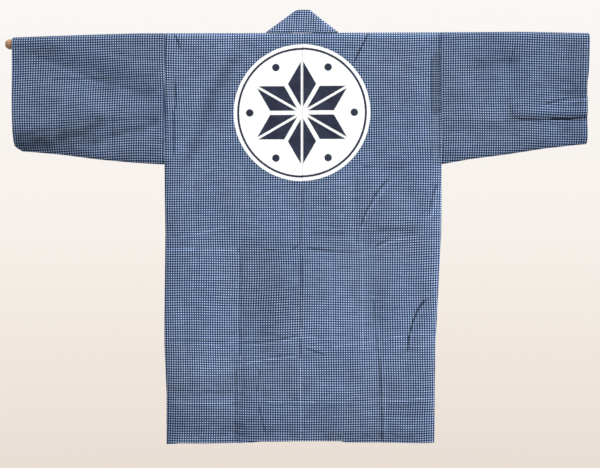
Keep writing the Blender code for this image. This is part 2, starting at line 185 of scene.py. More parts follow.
# Pressed creases: x and z of both ends, width, depth of the trough, the step across it and its sideways bow.
creases = {
    back: millimetres(
        (-301, -464, -4, -464, 5.5, 1.1, 1.3, 3),
        (12, -421, 97, -420, 5, 0.8, 1, 2),
        (165, -422, 256, -419, 5, 0.8, 1.1, -2),
        (12, -470, 133, -470, 5.5, 1, 1.1, 2),
        (156, -455.5, 190, -441.5, 5, 1, 1.3, 0),
        (184, -441.5, 300, -440.7, 5.5, 0.9, 1.2, 1),
        (-301, -656, -6, -659, 5.5, 1, 1.3, 3),
        (4, -657, 100, -656, 5, 0.9, 1.3, -1),
        (60, -678, 292, -673, 5.5, -0.9, 1.2, -3),
        (-148, -703.5, -4, -692.5, 5, -0.9, 1.3, 1),
        (-300, -771, -114, -769, 5, 0.7, 1.1, 3),
        (-298, -796, -4, -793, 6.5, -1, 1.4, 2),
        (4, -793, 290, -797, 6.5, -1.1, 1.5, 2),
        (170, -832, 282, -834, 5, 0.7, 0.9, 2),
        (172, -283, 240, -283, 5, 0.9, 1, 2),
        (150, -201, 282, -200, 5, 0.6, 0.8, -2),
        (-134, -452, -133, -702, 5.5, 1.2, 1.4, 1),
        (-133, -695, -148, -886, 6, 1.2, 1.2, 2),
        (-94, -720, -82, -884, 5.5, 0.9, 1, 2),
        (112, -300, 124, -440, 5.5, 1.1, 1.2, 3),
        (160, -560, 175, -700, 5.5, 0.9, 1.3, -2),
        (174, -690, 176, -886, 5.5, -1, -1.6, -1),
        (286.4, -300, 278, -392, 5, 1, 1.1, 3),
        (-133, -290, -114, -415, 5, 0.8, 1, 3),
        (145, 4, 115.5, -49, 5, 1.1, 1, 1),
        (276, -576, 243, -632, 5, 1.4, 1.4, 2),
        (245, -626, 231, -694, 5, 1.2, 1.3, 2),
        (197.6, -300, 154, -350, 5, 1.2, 1.2, 1),
        (-126, -883.5, -98, -881.5, 4, 1.2, 1.4, 0),
        (-240, -300, -236, -560, 6, 0.8, 0.8, 4),
        (-262, -560, -250, -780, 6, 0.8, 0.8, -4),
        (60, -470, 66, -660, 6, 0.8, 0.9, 3),
        (226, -700, 232, -870, 6, 0.7, 0.8, -3),
        (-205, -60, -236, -150, 6, 0.8, 0.8, 3),
        (215, -40, 208, -165, 6, 0.8, 0.8, -3),
        (462, -177.5, 533, -179, 4.2, 1.1, 2, 0),
        (529, -179, 627, -175, 4.6, 1.4, 3.4, -2),
        (516, -131, 629, -127, 4.6, 0.9, 1.8, 0),
        (540, -138, 629, -138.5, 5, -1.2, 0, 0),
        (306, -176.5, 456, -176.5, 5, -0.8, 0.6, 0),
        (454, -155, 460, -206, 4.5, 0.9, 1, 1),
        (345, -90, 420, -62, 5.5, 0.8, 0.9, 4),
        (330, -210, 470, -202, 5.5, 0.6, 0.8, 4),
        (-605, -36, -455, -100, 8, 1.2, 1, 4),
        (-470, -95, -348, -126, 7, 1.3, 1.1, 3),
        (-633, -228, -520, -205, 11, 1.8, 2, 3),
        (-545, -208, -446, -180, 8, 1.6, 1.7, 3),
        (-420, -190, -334, -182, 6, 1, 1, 4),
        (-425, -33, -325, -52, 5.5, 0.8, 0.8, -3),
    ),
    front: millimetres(
        (-298, -452, -90, -457, 5.5, -1.1, -1.2, 3),
        (90, -448, 300, -441, 5.5, -1.1, -1.2, -3),
        (-299, -668, -92, -663, 5.5, -1, -1.2, 3),
        (92, -657, 290, -666, 5.5, -1, -1.2, 3),
        (-292, -801, -100, -797, 6.5, -1.1, -1.4, 2),
        (100, -790, 286, -794, 6.5, -1.1, -1.4, 2),
        (-152, -330, -142, -620, 5.5, -1.2, -1.3, 3),
        (-142, -600, -147, -884, 5.5, -1.2, -1.3, -2),
        (150, -300, 143, -560, 5.5, -1.2, -1.3, 3),
        (143, -550, 158, -884, 5.5, -1.2, -1.3, 2),
        (-230, -60, -262, -240, 6, -1, -1, 4),
        (200, -50, 250, -210, 6, -1, -1, -4),
        (110, -130, 180, -205, 5.5, -0.9, -1, 3),
        (-110, -150, -170, -230, 5.5, -0.9, -1, 3),
        (-226, -500, -236, -640, 5.5, -0.9, -1, -3),
        (222, -560, 236, -640, 5, -1.2, -1.3, 2),
        (-560, -70, -400, -140, 7.5, -1.3, -1.1, 4),
        (-520, -205, -350, -165, 7, -1.1, -1.1, 4),
        (370, -70, 500, -120, 6.5, -1.2, -1.1, 4),
        (470, -182, 622, -172, 6, -1.2, -2, 2),
        (330, -215, 440, -190, 5.5, -0.9, -0.9, 3),
    ),
}

Line = namedtuple("Line", "tone width points")


# Lines of painted shade (below 0) and painted highlight (above 0), sharp along creases and seams or broad over
# the folds: tone, width, then x and z of each point.
def shadeLines(*rows):
    return [Line(row[0], row[1] / 1000.0, np.reshape(row[2:], (-1, 2)) / 1000.0) for row in rows]


# Painted shade and highlight along the back's creases and seams, and painted shadow at the collar's foot and
# the hem.
bodyLines = shadeLines(
    (-0.78, 3.8, 290.4, -567.1, 270.6, -572.6, 255.2, -592.4, 243.1, -621, 234.3, -654, 231, -691.4),
    (-0.44, 3.2, 157.3, -568.2, 162.8, -645.2, 171.6, -733.2, 174.9, -794.8, 176, -889.4),
    (0.25, 2.4, 181.7, -750.8, 183.9, -885),
    (0.3, 2.6, -141.7, -328.4, -141.2, -486.8, -143, -706.7),
    (-0.42, 4.6, -134.6, -458.2, -134.2, -574.7, -135.5, -702.4),
    (0.75, 3.2, -299.2, -463.7, -264, -463.2, -228.8, -463.9),
    (0.28, 2.8, -228.8, -464.1, -145.2, -464.8),
    (0.28, 3.4, -297, -440.6, -246.4, -434, -198, -420.8, -154, -414.2),
    (-0.6, 2.8, -141.9, -473.6, -136.4, -459.3, -123.2, -454.4),
    (-0.65, 3, -88, -461.7, -70.4, -464.3, -50.6, -463.4),
    (-0.6, 3, -28.6, -465.9, -13.2, -459.3, -3.3, -445),
    (-0.48, 4, 6.6, -458.2, 50.6, -464.8, 94.6, -469.2, 129.8, -469.2),
    (-0.65, 3.2, 155.1, -460.4, 171.6, -449.4, 191.4, -440.6),
    (0.42, 2.8, 162.8, -462.6, 189.2, -449.4, 220, -439.2, 255.2, -434.6),
    (-0.3, 3.6, 117.7, -317.4, 119.9, -387.8, 122.1, -456),
    (0.24, 3, 130.9, -407.6, 132.7, -552.8, 134.2, -684.8),
    (-0.55, 3.2, 198, -299.8, 178.2, -319.6, 162.8, -339.4, 140.8, -379, 126.5, -418.6),
    (0.4, 2.8, 203.5, -307.5, 180.4, -332.8, 162.8, -354.8, 143, -385.6, 129.8, -425.2),
    (-0.55, 3.2, 301.4, -310.8, 288.2, -337.2, 281.6, -365.8, 277.2, -392.1),
    (0.42, 2.4, 295.9, -346, 287.1, -385.6, 261.8, -404.2),
    (-0.5, 3, 127.6, -281.1, 182.6, -283.3, 235.4, -284.3),
    (0.32, 2.8, 66, -676, 116.6, -669.4, 167.2, -662.8),
    (0.45, 2.8, 173.8, -660.6, 204.6, -655.1, 235.4, -650.7, 288.2, -649.6),
    (-0.38, 3, -138.6, -667.2, -96.8, -665.6, -59.4, -661.7, -3.3, -649.6),
    (0.36, 2.8, -129.8, -671.6, -88, -671.6, -46.2, -665, -6.6, -656.2, 22, -655.1, 41.8, -659.5),
    (0.65, 3.2, -134.2, -706.7, -121, -712.3, -88, -705.6, -48.4, -701.3, -8.8, -698),
    (-0.34, 3, -79.2, -698, -4.4, -690.3),
    (-0.58, 3.2, 3.3, -679.3, 24.2, -684.8, 55, -695.3),
    (0.36, 2.4, 4.4, -673.8, 28.6, -676.4, 48.4, -680.4),
    (0.52, 3.2, -299.2, -797, -246.4, -799.6, -145.2, -799.2),
    (0.55, 3.2, -83.6, -797, -4.4, -798.3, 83.6, -798.3, 165, -799.2),
    (0.46, 2.8, 178.2, -798.3, 237.6, -792.6, 286, -786),
    (0.22, 3, 2.2, -841, 61.6, -832.2, 127.6, -821.2, 184.8, -819),
    (-0.34, 2.8, -110, -709, -92.4, -728.8, -95.7, -753, -99, -779.4),
    (-0.45, 2.8, -24.2, -791.7, -2.2, -790.8),
    (-0.46, 2.8, -95.7, -794.8, -91.3, -821.2, -83.6, -849.8, -77, -874),
    (0.4, 2.6, -3.7, -711.2, -3.7, -885),
    (-0.42, 3.6, 0.7, -317.4, 0, -370.2, -3.3, -434, -3.7, -574.7, -2.2, -640.8),
    (-0.5, 3.4, -3.1, -654, -3.1, -702.4),
    (-0.3, 4, -143.4, -720, -144.8, -794.8, -146.3, -887.2),
    (0.2, 3, -151.8, -720, -154, -885),
    (-0.4, 3.2, -299.2, -661.7, -235.4, -661.9, -162.8, -665),
    (0.22, 3, -242, -670.2, -169.4, -673.8),
    (-0.8, 3.4, 149.6, 18.1, 140.8, 1.6, 126.5, -27, 110, -62.2),
    (-0.75, 3.2, -282.7, 17.1, -277.2, 3.9, -270.6, -9.4, -266.2, -29.2),
    (-1.3, 4, -100.1, -885.4, -121, -887.2),
    (-0.55, 3.2, -74.8, 10, 85.8, 10),
    (-0.62, 3, -276.5, -95.2, -275.9, -147.9, -279.8, -161.2, -280.7, -262.4),
    (-0.58, 2.8, -298.1, 17.1, -297.7, -134.8, -297.2, -266.8),
    (-0.62, 3, 301.2, 17.1, 301.6, -134.8, 301.6, -266.8),
    (-0.36, 10, 293.7, -24.8, 293.7, -174.4),
    (-0.34, 2.8, 285.6, -38, 285.1, -170),
)
# Painted shade and highlight along the creases and the pleat of the sleeves' backs.
sleeveLines = shadeLines(
    (-0.34, 3.4, -550, -90.8, -466.4, -88.6, -404.8, -86.4, -312.4, -82),
    (-0.35, 2.8, -414, -156.8, -414, -236),
    (-0.85, 4, 459.8, -175.7, 497.2, -177.9, 534.6, -178.5, 563.2, -177.9),
    (-1.0, 4.4, 541.2, -178.3, 583, -177, 631.4, -173.5),
    (-0.5, 3.2, 525.8, -147.9, 556.6, -137, 589.6, -131.5, 631.4, -128.2),
    (0.42, 2.8, 519.2, -154.6, 556.6, -143.6, 631.4, -134.8),
    (-0.38, 3, 455.8, -108.4, 455.8, -203),
    (-0.24, 2.6, 559.9, -99.5, 561, -214),
    (0.2, 2.6, 308, -183.8, 451, -178.8),
    (-0.34, 3.4, 470.8, -9.4, 464.2, -29.2, 451, -64.4),
    (-0.22, 2.6, 468.6, -31.4, 558.8, -33.6),
    (-0.24, 3.4, 334.4, -20.4, 327.8, -51.2),
)
# Broad painted shading over the folds of the body, and on the front its crease lines too, held in the mesh.
bodyShades = {
    back: shadeLines(
        (-0.17, 75, -68.2, -482.4, -68.2, -667.2),
        (-0.13, 170, -300, -820, 300, -820),
        (-0.06, 90, 200, -790, 290, -790),
        (-0.16, 46, -290.4, -852, -145.2, -852),
        (-0.16, 40, -125.4, -856.4, -4.4, -860.8),
        (-0.18, 30, 61.6, -874, 270.6, -876.2),
        (0.14, 30, 35.2, -768.4, 132, -768.4),
        (0.1, 55, 61.6, -491.2, 70.4, -629.8),
        (-0.26, 10, 19.8, -427.4, 90.2, -427.4),
        (-0.3, 10, 169.4, -420.8, 209, -418.1, 248.6, -423),
        (-0.2, 9, -294.8, -768.4, -224.4, -775, -154, -772.8),
        (0.12, 22, -235.4, -728.8, -154, -722.2),
        (-0.24, 24, -154, -55.6, -191.4, -117.2, -213.4, -178.8, -235.4, -233.8, -253, -271.2),
        (0.12, 22, -154, -2.8, -176, -29.2),
        (0.22, 18, -301.4, 8.3, 303.6, 8.3),
    ),
    front: shadeLines(
        (-0.48, 3.4, -296, -452, -190, -456, -94, -457),
        (0.34, 2.8, -290, -456, -100, -461),
        (-0.46, 3.4, 94, -448, 190, -443, 298, -441),
        (0.48, 3.2, -290, -799, -100, -797),
        (0.46, 3.2, 100, -790, 284, -794),
        (-0.44, 4.4, 150, -310, 147, -430, 143, -560),
        (-0.5, 4.4, -142, -600, -145, -720, -147, -884),
        (-0.66, 3.6, 220, -540, 228, -590, 240, -650),
        (-0.5, 3.2, -110, -150, -142, -186, -170, -230),
        (-0.14, 60, -170, -320, -185, -600),
        (-0.16, 42, -250, -850, 250, -852),
        (-0.2, 24, -150, -50, -230, -240),
        (-0.18, 24, 170, -60, 235, -230),
        (0.1, 50, 200, -520, 210, -700),
    ),
}
# Broad painted shading over the folds of the sleeves, and on the front their crease lines too, held in the
# mesh.
sleeveShades = {
    back: shadeLines(
        (-0.14, 45, -598.4, -29.2, -528, -51.2, -429, -84.2),
        (-0.14, 30, -444.4, -112.8, -334.4, -117.2),
        (-0.36, 34, -624.8, -233.8, -565.4, -227.2),
        (-0.26, 40, -620, -218, -470, -224),
        (-0.32, 24, -528, -214, -499.4, -205.1, -444.4, -183.2),
        (-0.28, 12, -455.4, -227.2, -396, -205.1, -334.4, -189.8, -321.2, -176.6),
        (0.12, 22, -543.4, -167.8, -519.2, -141.4),
        (0.1, 18, -444.4, -152.4, -411.4, -170),
        (-0.1, 14, 308, -196.4, 451, -194.2),
        (0.14, 18, 316.8, -161.2, 446.6, -161.2),
        (-0.16, 18, 385, -55.6, 468.6, -46.7),
        (-0.14, 30, 594, -13.8, 594, -211.8),
        (-0.26, 13, 572, -119.4, 627, -115),
        (0.28, 14, 475.2, -159, 622.6, -156.8),
        (-0.14, 12, 572, -203, 627, -198.6),
    ),
    front: shadeLines(
        (-0.3, 4, -560, -70, -480, -112, -400, -140),
        (-0.8, 3.2, 470, -182, 550, -179, 622, -172),
        (-0.34, 2.8, 456, -90, 456, -190),
        (-0.24, 24, -520, -205, -350, -165),
        (-0.14, 42, -580, -70, -420, -110),
        (-0.18, 30, 370, -70, 500, -120),
        (-0.14, 28, 590, -40, 590, -210),
    ),
}


def sided(table, sign, at):
    return np.interp(at, table[:, 0], table[:, 1 if sign == left else 2])


def hemHeight(x):
    return np.interp(x, hems[:, 0], hems[:, 1])


def rodHeight(x):
    x = np.asarray(x, float)
    drop = np.zeros_like(x)
    for sign, bow in bows.items():
        drop += bow.drop * np.maximum(0.0, (sign * x - bow.start) / bow.reach) ** bow.power
    return cut["rodSlope"] * x - drop


def foldRadius(x):
    return cut["foldRadius"] + cut["cuffSlack"] * (np.abs(x) / cut["cuffReach"]) ** 3


def bell(value, width):
    return np.exp(-((value / width) ** 2))


def smooth(value):
    share = np.clip(value, 0.0, 1.0)
    return share * share * (3.0 - 2.0 * share)


# Distance of places from the straight stretch between two points.
def distanceFrom(x, z, x0, z0, x1, z1):
    runX, runZ = x1 - x0, z1 - z0
    along = np.clip(((x - x0) * runX + (z - z0) * runZ) / (runX**2 + runZ**2), 0.0, 1.0)
    return np.hypot(x - x0 - along * runX, z - z0 - along * runZ)


def foldsDepth(table, x, z):
    return sum(depth * bell(distanceFrom(x, z, *ends), width) for *ends, width, depth in table)


# Depth of the pressed creases, which fade out at their ends and waver a little.
def creasesDepth(table, x, z):
    shape = creaseShape
    total = np.zeros_like(x)
    for number, (x0, z0, x1, z1, width, depth, lean, bow) in enumerate(table):
        runX, runZ = x1 - x0, z1 - z0
        length = math.hypot(runX, runZ)
        along = ((x - x0) * runX + (z - z0) * runZ) / length**2
        side = ((z - z0) * runX - (x - x0) * runZ) / length - bow * 4.0 * along * (1.0 - along)
        side += shape["waver"] * np.sin(along * length / shape["waverStep"] + 1.7 * number)
        taper = min(shape["taper"], shape["taperShare"] * length)
        fade = smooth(np.minimum(along, 1.0 - along) * length / taper + 0.5)
        total += fade * bell(side, width) * (depth + lean * side / width)
    return total


def shadeTones(shades, x, z):
    total = np.zeros_like(x)
    for tone, width, points in shades:
        distances = [distanceFrom(x, z, *start, *end) for start, end in zip(points, points[1:])]
        total += tone * smooth(1.0 - np.min(distances, axis=0) / width)
    return total


def softWaves(x, z, layer):
    draw = np.random.default_rng(waves["seeds"][layer])
    total = np.zeros_like(x)
    for _ in range(waves["count"]):
        angle, phase = draw.uniform(0.0, math.pi), draw.uniform(0.0, 2.0 * math.pi)
        wave = draw.uniform(waves["shortest"], waves["longest"])
        push = (x * math.cos(angle) + z * math.sin(angle)) * 2.0 * math.pi / wave
        total += (wave / 0.1) * np.sin(push + phase + 0.8 * np.sin(push * 0.31 + 2.0 * phase))
    return waves["height"] * total / math.sqrt(waves["count"])


# How far a hollow is open at a distance from the edge that closes it.
def closingShare(distance, reach):
    return np.sqrt(1.0 - (1.0 - np.clip(np.asarray(distance, float) / reach, 0.0, 1.0)) ** 2)


def closingSteps(reach):
    return reach * (1.0 - np.cos(np.linspace(0.0, 0.5 * math.pi, cut["turnSteps"] + 1)))


def layerPoints(x, z, layer, opening):
    flare = 1.0 + cut["hemFlare"] * (z / cut["hemDepth"]) ** 2 * (layer == front)
    growth = np.clip(-z / cut["foldGrowth"], 0.0, 1.0)
    early = np.clip(-z / cut["creaseGrowth"], 0.0, 1.0)
    y = layer * foldRadius(x) * opening * flare
    y = y + growth * opening * foldsDepth(folds[layer], x, z)
    y = y + growth * foldsDepth(bends, x, z)
    y = y + early * opening * creasesDepth(creases[layer], x, z)
    y = y + growth * opening * softWaves(x, z, layer)
    return np.stack(np.broadcast_arrays(x, y, z), axis=-1)


# Length of cloth from the top of the rod down to a point of a layer.
def clothDown(x, z):
    return 0.5 * math.pi * foldRadius(x) + rodHeight(x) - z


def layerMap(x, z, layer):
    return np.stack([x, layer * clothDown(x, z)], axis=1)


# Points over the rod, from the back (0) to the front (pi), and their places on the cloth's map.
def arcPoints(x, turn, sunk):
    radius = foldRadius(x)
    y, z = (sunk - radius) * np.cos(turn), rodHeight(x) + (radius - sunk) * np.sin(turn)
    return np.stack([x, y, z], axis=-1), np.stack([x, -radius * (0.5 * math.pi - turn)], axis=1)


# Share of a turned hem, and of the line of painted shade where it ends, at a distance from the edge.
def hemShares(distance, width):
    raised = np.clip((width - distance) / cut["hemStep"] + 0.5, 0.0, 1.0)
    return raised, bell(distance - width, edgeShading["hemWidth"])


def armLevels():
    depth = -cut["underarm"]
    flat = 1.0 - cut["underClosing"] / depth
    tail = 1.0 - closingSteps(cut["underClosing"])[::-1][1:] / depth
    return np.concatenate([np.linspace(0.0, flat, int(round(flat * depth / cut["grid"])) + 1), tail])


def collarSeam(z):
    return cut["neckHalf"] + cut["frontSpread"] * np.maximum(0.0, -z) / cut["hemDepth"]


def placed(name, data):
    obj = bpy.data.objects.new(name, data)
    bpy.context.scene.collection.objects.link(obj)
    return obj


# Turns an object with modifiers into a plain mesh object with sharp rims and smooth faces.
def settle(made, name, angle=62.0):
    graph = bpy.context.evaluated_depsgraph_get()
    mesh = bpy.data.meshes.new_from_object(made.evaluated_get(graph), depsgraph=graph)
    mesh.name = name
    old = made.data
    bpy.data.objects.remove(made)
    bpy.data.meshes.remove(old)
    mesh.shade_smooth()
    mesh.set_sharp_from_angle(angle=math.radians(angle))
    return placed(name, mesh)


# A cloth piece made row by row: its points, their places on its map, their painted light and shade, and points
# sewn into one.
class Cloth:
    def __init__(self):
        self.points, self.maps, self.rubs, self.quads = [], [], [], []
        self.count = 0
        self.welds = {}

    def row(self, points, maps, rubs):
        numbers = np.arange(self.count, self.count + len(points))
        self.count += len(points)
        self.points.append(points)
        self.maps.append(maps)
        self.rubs.append(np.broadcast_to(rubs, (len(points),)))
        return numbers

    def strips(self, rows):
        for low, high in zip(rows, rows[1:]):
            n = min(len(low), len(high))
            low, high = low[:n], high[:n]
            self.quads.append(np.stack([low[:-1], low[1:], high[1:], high[:-1]], axis=1))

    def piece(self, name, wall, material, turned=False):
        quads = np.concatenate(self.quads)
        if turned:
            quads = quads[:, ::-1]
        weld = np.arange(self.count)
        for second, first in self.welds.items():
            weld[second] = first
        used, corners = np.unique(weld[quads.ravel()], return_inverse=True)
        mesh = bpy.data.meshes.new(name + "Flat")
        mesh.from_pydata(np.concatenate(self.points)[used].tolist(), [], corners.reshape(-1, 4).tolist())
        maps = np.concatenate(self.maps)[quads.ravel()].astype(np.float32)
        mesh.uv_layers.new(name="cloth").data.foreach_set("uv", maps.ravel())
        rubs = np.concatenate(self.rubs)[used].astype(np.float32)
        mesh.attributes.new("rub", "FLOAT", "POINT").data.foreach_set("value", rubs)
        mesh.materials.append(material)
        flat = placed(name + "Flat", mesh)
        solidify = flat.modifiers.new("wall", "SOLIDIFY")
        solidify.thickness, solidify.offset = wall, 0.0
        return settle(flat, name)


# A node's output that adds, subtracts and multiplies as a number does, each time by a new node.
class Wire:
    def __init__(self, socket):
        self.socket = socket

    def __add__(self, other):
        return maths("ADD", self, other)

    def __radd__(self, other):
        return maths("ADD", other, self)

    def __sub__(self, other):
        return maths("SUBTRACT", self, other)

    def __rsub__(self, other):
        return maths("SUBTRACT", other, self)

    def __mul__(self, other):
        return maths("MULTIPLY", self, other)

    def __rmul__(self, other):
        return maths("MULTIPLY", other, self)

    def __abs__(self):
        return maths("ABSOLUTE", self)


def addNode(tree, kind, inputs=None, **settings):
    node = tree.nodes.new(kind)
    for key, value in settings.items():
        setattr(node, key, value)
    for key, value in (inputs or {}).items():
        if isinstance(value, Wire):
            tree.links.new(value.socket, node.inputs[key])
        else:
            node.inputs[key].default_value = value
    return node


def source(tree, kind, output=0, inputs=None, **settings):
    return Wire(addNode(tree, kind, inputs, **settings).outputs[output])


# The output of a new node in the tree that its inputs belong to.
def wired(kind, inputs, output=0, **settings):
    tree = next(value.socket.id_data for value in inputs.values() if isinstance(value, Wire))
    return source(tree, kind, output, inputs, **settings)


def maths(operation, *values, clamp=False):
    inputs = dict(enumerate(values))
    if all(value.socket.type == "VALUE" for value in values if isinstance(value, Wire)):
        return wired("ShaderNodeMath", inputs, operation=operation, use_clamp=clamp)
    output = "Value" if operation == "DOT_PRODUCT" else "Vector"
    return wired("ShaderNodeVectorMath", inputs, output, operation=operation)


def step(value, low, high, start=0.0, end=1.0):
    inputs = {"Value": value, "From Min": low, "From Max": high, "To Min": start, "To Max": end}
    return wired("ShaderNodeMapRange", inputs, interpolation_type="SMOOTHSTEP")


def mix(factor, first, second, blend="MIX"):
    return wired("ShaderNodeMix", {0: factor, 6: first, 7: second}, 2, data_type="RGBA", blend_type=blend)


def noise(place, scale, detail, output="Fac", dimensions="2D", **more):
    inputs = {"Vector": place, "Scale": scale, "Detail": detail, **more}
    return wired("ShaderNodeTexNoise", inputs, output, noise_dimensions=dimensions)


def shake(place, scale, detail, most):
    return (noise(place, scale, detail, "Color") - (0.5, 0.5, 0.5)) * (most, most, 0.0)


def parted(value, kind="ShaderNodeSeparateXYZ"):
    return [Wire(socket) for socket in addNode(value.socket.id_data, kind, {0: value}).outputs]


# The same value on all three axes.
def filled(value):
    return wired("ShaderNodeCombineXYZ", {0: value, 1: value, 2: value})


def newMaterial(name):
    material = bpy.data.materials.new(name)
    material.use_nodes = True
    tree = material.node_tree
    return material, tree, tree.nodes["Principled BSDF"]


def finishShader(shader, look, color, height=None):
    links = shader.id_data.links
    links.new(color.socket, shader.inputs["Base Color"])
    shader.inputs["Roughness"].default_value = look["roughness"]
    if height:
        bump = wired("ShaderNodeBump", {"Height": height, "Strength": look["bump"], "Distance": 1.0})
        links.new(bump.socket, shader.inputs["Normal"])


checkLook = {
    "pitch": 0.00525,
    "bar": 0.35,  # share of the pitch that a pale bar takes
    "soft": 0.38,  # and over which its edge fades
    "ground": (0.0120, 0.0290, 0.0690, 1.0),
    "warp": (0.026, 0.062, 0.176, 1.0),
    "weft": (0.020, 0.050, 0.152, 1.0),
    "dot": (0.77, 0.89, 1.0, 1.0),
    "lit": (0.95, 1.03),  # dimmest and brightest crossing
    "drift": (26.0, 3.0, 0.0004),  # small wobble of the threads: how many to a metre, detail, how far
    "sway": (4.5, 1.0, 0.0095),  # slow wobble over a hand's breadth
    "worn": (8.0, 4.0),  # patches of faded dye: how many to a metre, and detail
    "fade": 0.14,
    "warm": (5.5, 3.0),
    "tint": 0.03,
    "ends": (0.96, 1.03),  # painted shade: tone at the left and at the right cuff, darker on the left, away from the lamp
    "wrinkles": (32.0, 120.0, 0.0),  # how many to a metre along and down the cloth
    # painted shade and highlight of the fine wrinkles, how strong
    "wrinkleShading": 0.10,
    "waver": (70.0, 2.0, 0.0020),  # of the lines along the creases, as the drift
    "thread": 0.00065,
    "roughness": 0.88,
    "specular": 0.15,
    "bump": 0.8,
    "slub": (900.0, 2.0),
    "crumple": (55.0, 3.0),
    # heights in the bump, in metres
    "weaveHeight": 0.000006,
    "slubHeight": 0.00001,
    "crumpleHeight": 0.00070,
    "wrinkleHeight": 0.00030,
    "dotHeight": 0.00002,
}
# The pressed band beside each sleeve seam: where it starts and ends, and how it shows, with a line of painted
# shadow at its edge.
bandLook = {
    "left": 0.2772,
    "right": 0.2838,
    "leftRows": (0.098, 0.165),
    "rightRows": (0.045, 0.300),
    "soft": 0.0008,
    "rise": 0.02,
    "fall": 0.03,
    "merge": 0.40,
    "dim": 0.58,
    # painted shadow along the band's edge: how dark, and how wide
    "edge": 0.52,
    "edgeShadowWidth": 0.0017,
}
crestLook = {
    "v": -0.1829,  # centre of the roundel, down the back from the top of the rod
    "radius": 0.1496,
    # shares of the radius
    "leaf": 0.80,
    "ringIn": 0.918,
    "ringOut": 0.950,
    "gap": 0.030,
    "tipGap": 0.0105,
    "rib": 0.017,
    "seed": 0.055,
    "seedAt": 0.765,
    "white": (0.80, 0.80, 0.79, 1.0),
    "whiteWorn": (0.70, 0.72, 0.75, 1.0),
    "navy": (0.018, 0.021, 0.040, 1.0),
    "navyWorn": (0.050, 0.062, 0.105, 1.0),
    "slip": 0.0006,  # how far the two halves are out of line
    "rough": (420.0, 1.0, 0.0013),
    "edge": (-0.0004, 0.0005),
    "wash": (38.0, 3.0),
    "whiteWash": (0.35, 0.75, 0.0, 0.10),
    "navyWash": (0.30, 0.80, 0.0, 0.30),
}


# A white roundel with a six-leaf hemp star, resist dyed, so that it shows on both faces.
def crestColors(place, base, gray):
    look = crestLook
    radius, turned = look["radius"], math.radians(30.0)
    rough = shake(place, *look["rough"])
    across, tall, _ = parted(place - (0.0, look["v"], 0.0) + rough)
    down = tall + maths("LESS_THAN", across, 0.0) * look["slip"]
    reach = maths("SQRT", across * across + down * down)
    turn = maths("PINGPONG", maths("ARCTAN2", down, across) + turned, turned)
    u = reach * maths("COSINE", turn)
    v = reach * maths("SINE", turn)
    toSide = u * 0.5 - v * math.cos(turned)
    toEnd = 0.5 * look["leaf"] * radius - (u * 0.5 + v * math.cos(turned))
    inside = maths("MINIMUM", toSide - look["gap"] * radius, toEnd - look["tipGap"] * radius)
    inside = maths("MINIMUM", inside, v - look["rib"] * radius)
    ring = maths("MINIMUM", reach - look["ringIn"] * radius, look["ringOut"] * radius - reach)
    seedAt = look["seedAt"] * radius
    offU, offV = u - seedAt * math.cos(turned), v - seedAt * 0.5
    seed = look["seed"] * radius - maths("SQRT", offU * offU + offV * offV)
    dark = step(maths("MAXIMUM", maths("MAXIMUM", inside, ring), seed), *look["edge"])
    disc = step(radius - reach, *look["edge"])
    wash = noise(place, *look["wash"])
    white = mix(step(wash, *look["whiteWash"]), look["white"], look["whiteWorn"])
    navy = mix(step(wash, *look["navyWash"]), look["navy"], look["navyWorn"])
    return mix(disc, base, mix(1.0, mix(dark, white, navy), gray, "MULTIPLY"))


# Part of the map that the lines lie in, the most stops of a ramp and how a line's ends fade.
lineField = {
    "corner": (-0.66, -0.95),
    "size": (1.32, 0.95),
    "stops": 30,
    "stopGap": 0.008,
    "taper": 0.012,
    "steepest": 2.2,
    "toneSpan": 3.0,
}


# A line as stops (place along, place across, tone, width) over the field, along the axis it mostly follows.
def lineStops(line):
    corner, size = lineField["corner"], lineField["size"]
    points = np.array([(x, -float(clothDown(x, z))) for x, z in line.points])
    axis = int(np.ptp(points[:, 0]) < np.ptp(points[:, 1]))
    if points[0, axis] > points[-1, axis]:
        points = points[::-1]
    steps = np.abs(np.diff(points, axis=0))
    slant = np.minimum(np.hypot(steps[:, 0], steps[:, 1]) / steps[:, axis], lineField["steepest"])
    slant = np.concatenate([slant[:1], np.maximum(slant[:-1], slant[1:]), slant[-1:]])
    along, across = points[:, axis], points[:, 1 - axis]
    taper = min(lineField["taper"], 0.4 * (along[-1] - along[0]))
    knots = np.unique(np.concatenate([along, [along[0] + taper, along[-1] - taper]]))
    tone = line.tone * np.clip(np.minimum(knots - along[0], along[-1] - knots) / taper, 0.0, 1.0)
    place = (np.interp(knots, along, across) - corner[1 - axis]) / size[1 - axis]
    width = np.interp(knots, along, slant) * line.width / size[1 - axis]
    return axis, np.stack([(knots - corner[axis]) / size[axis], place, tone, width], axis=1).tolist()


# Lines that don't overlap along their axis share one ramp.
def packedLines(lines):
    ramps = []
    found = sorted(map(lineStops, lines), key=lambda item: (item[0], item[1][0][0]))
    for axis, stops in found:
        for rampAxis, ramp in ramps:
            apart = ramp[-1][0] + lineField["stopGap"] < stops[0][0]
            if rampAxis == axis and apart and len(ramp) + len(stops) <= lineField["stops"]:
                ramp.extend(stops)
                break
        else:
            ramps.append((axis, stops))
    return ramps


